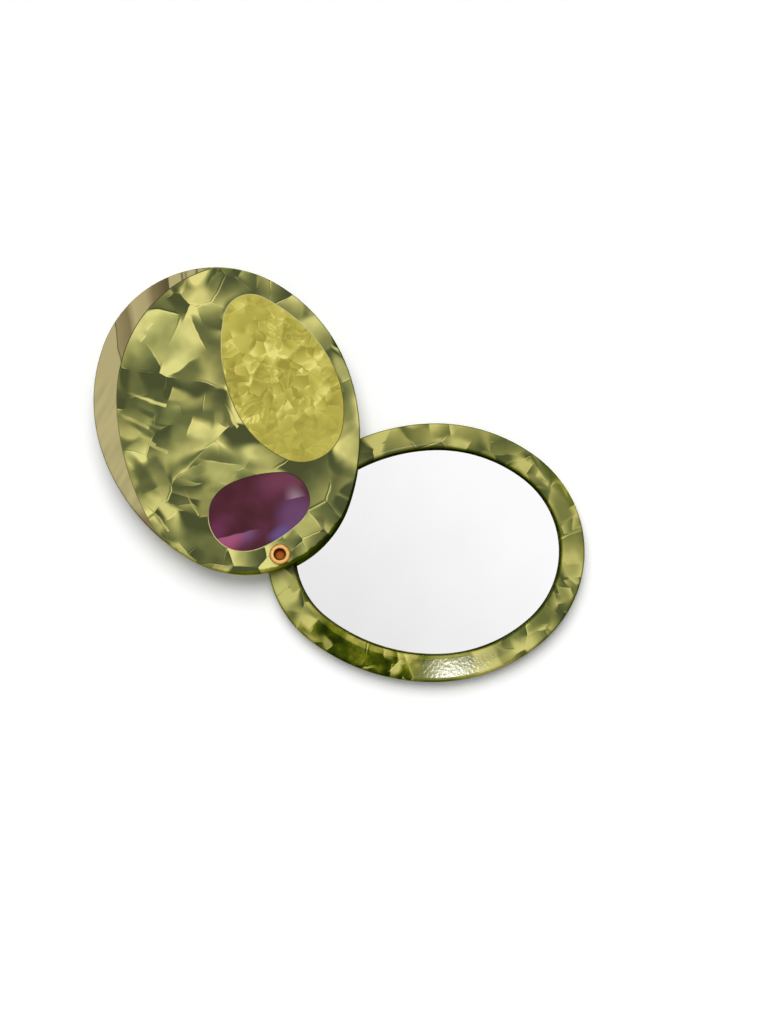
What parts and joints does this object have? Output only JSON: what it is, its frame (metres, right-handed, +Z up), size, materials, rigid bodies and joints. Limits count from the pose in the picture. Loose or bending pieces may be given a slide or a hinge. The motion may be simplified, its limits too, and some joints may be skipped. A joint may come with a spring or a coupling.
{
  "type": "compact mirror",
  "caption": "Flat oval pocket mirror in a pearl acetate frame, with an inlaid oval cover that swings aside about a hollow copper rivet at one end.",
  "frame": {"origin": "middle of the tray's length and width, on its flat underside", "axes": "+X along the tray from the rivet to its free end, +Y across the tray to the side that the open cover swings over, +Z up out of the mirror"},
  "size_m": [0.1286, 0.1122, 0.0092],
  "materials": {
    "green_acetate": "polished pearl acetate, olive green",
    "tan_acetate": "polished pearl acetate, tan",
    "yellow_acetate": "polished pearl acetate, yellow",
    "purple_acetate": "polished pearl acetate, dark purple",
    "mirror": "silvered glass",
    "adhesive": "double-sided adhesive sheet",
    "copper": "copper-coloured plating",
    "nylon": "natural nylon"
  },
  "bodies": {
    "mirror_tray": {"tray_back_panel": "green_acetate", "mirror_frame_ring": "green_acetate", "mirror_glass": "mirror", "mirror_adhesive_pad": "adhesive", "pivot_rivet": "copper", "pivot_spacer_washer": "nylon"},
    "cover": {"cover_back_panel": "green_acetate", "cover_face_panel": "green_acetate", "crescent_inlay": "tan_acetate", "yellow_inlay": "yellow_acetate", "purple_inlay": "purple_acetate"}
  },
  "joints": [
    {"name": "cover_swing", "type": "hinge", "parent": "mirror_tray", "child": "cover", "pos_m": [-0.03843, 0, 0.00495], "axis": [0, 0, 1], "continuous": true}
  ]
}
